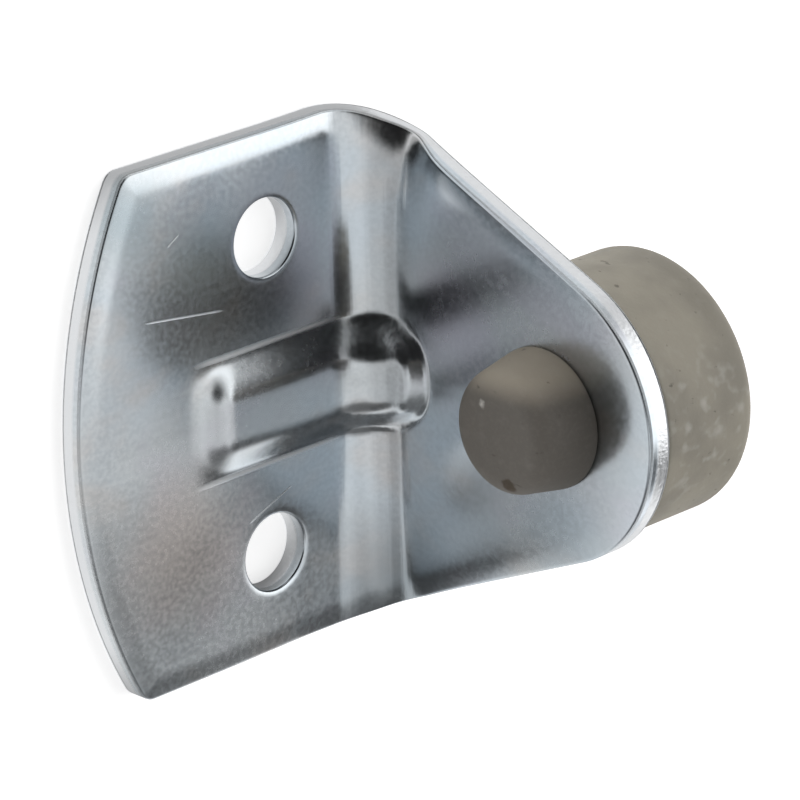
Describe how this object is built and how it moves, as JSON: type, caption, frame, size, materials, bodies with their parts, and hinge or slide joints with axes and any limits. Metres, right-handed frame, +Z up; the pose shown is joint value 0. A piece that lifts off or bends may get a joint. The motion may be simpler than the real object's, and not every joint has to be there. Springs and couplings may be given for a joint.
{
  "type": "floor door stop",
  "caption": "Bent steel angle bracket that screws to the floor, with a rubber buffer on its upright for a door to rest against.",
  "frame": {"origin": "midway between the two screw holes, on the underside of the base, which stands on the floor", "axes": "+Z up, +X towards the door through the buffer, +Y across the bracket, along the line of the screw holes"},
  "size_m": [0.0401, 0.04, 0.03],
  "materials": {
    "zinc_plated_steel": "bright zinc plating, satin",
    "grey_rubber": "matt moulded"
  },
  "bodies": {
    "root": {"bracket": "zinc_plated_steel", "rubber_buffer": "grey_rubber"}
  },
  "joints": []
}
